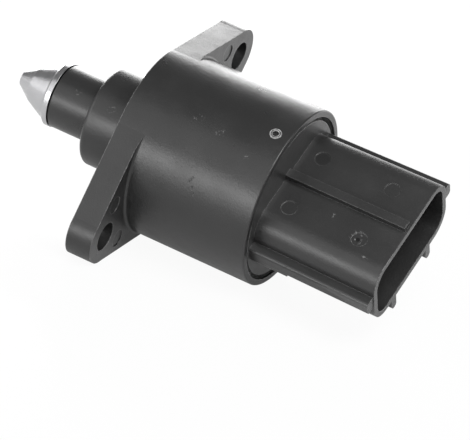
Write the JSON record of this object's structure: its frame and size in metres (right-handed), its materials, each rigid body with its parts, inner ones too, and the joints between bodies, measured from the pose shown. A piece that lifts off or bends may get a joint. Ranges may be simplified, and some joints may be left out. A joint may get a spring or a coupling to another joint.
{
  "type": "idle air control valve",
  "caption": "Stepper motor idle air control valve: polished conical pintle on a stepped nose, flange with two ears, black moulded motor housing, flat rectangular connector shroud with latch.",
  "frame": {"origin": "centre of the flange's seating face on the valve axis, where the two mounting holes' middle line crosses it", "axes": "+X along the valve axis from pintle to connector, +Y along the two ears, +Z towards the connector's key rib"},
  "size_m": [0.0806, 0.0578, 0.0341],
  "materials": {
    "housing_plastic": "satin",
    "cap_plastic": "satin",
    "seal_rubber": "matte",
    "terminal_brass": "bright",
    "stator_steel": "plated",
    "bobbin_plastic": "natural",
    "winding_enamel": "enamelled",
    "magnet_ferrite": "matte",
    "bearing_steel": "ground",
    "bush_bronze": "sintered",
    "pintle_metal": "turned and polished"
  },
  "bodies": {
    "valve_body": {"housing": "housing_plastic", "connector_cap": "cap_plastic", "cap_seal": "seal_rubber", "terminal_1": "terminal_brass", "terminal_2": "terminal_brass", "terminal_3": "terminal_brass", "terminal_4": "terminal_brass", "front_stator_cup": "stator_steel", "front_pole_plate": "stator_steel", "rear_pole_plate": "stator_steel", "rear_stator_cup": "stator_steel", "front_bobbin": "bobbin_plastic", "rear_bobbin": "bobbin_plastic", "front_winding": "winding_enamel", "rear_winding": "winding_enamel", "bearing_outer_ring": "bearing_steel", "rear_bush": "bush_bronze", "shaft_seal": "seal_rubber", "guide_bush": "bush_bronze", "pintle_spring": "bearing_steel"},
    "rotor": {"rotor_hub": "bobbin_plastic", "rotor_magnet": "magnet_ferrite", "lead_nut": "terminal_brass", "bearing_inner_ring": "bearing_steel", "thrust_washer": "bearing_steel"},
    "ball_set": {"bearing_balls": "bearing_steel", "bearing_cage": "terminal_brass"},
    "plunger": {"lead_screw": "bearing_steel", "pintle": "pintle_metal"}
  },
  "joints": [
    {"name": "rotor_spin", "type": "hinge", "parent": "valve_body", "child": "rotor", "pos_m": [0, 0, 0], "axis": [-1, 0, 0], "range_deg": [0, 2880]},
    {"name": "balls_orbit", "type": "hinge", "parent": "valve_body", "child": "ball_set", "pos_m": [-0.003, 0, 0], "axis": [-1, 0, 0], "range_deg": [0, 1500]},
    {"name": "pintle_slide", "type": "slide", "parent": "valve_body", "child": "plunger", "axis": [-1, 0, 0], "range_m": [0, 0.008], "deforming": ["pintle_spring"]}
  ],
  "couplings": [
    {"joint": "pintle_slide", "follows": "rotor_spin", "m_per_rad": 0.00015915},
    {"joint": "balls_orbit", "follows": "rotor_spin", "ratio": 0.403}
  ]
}
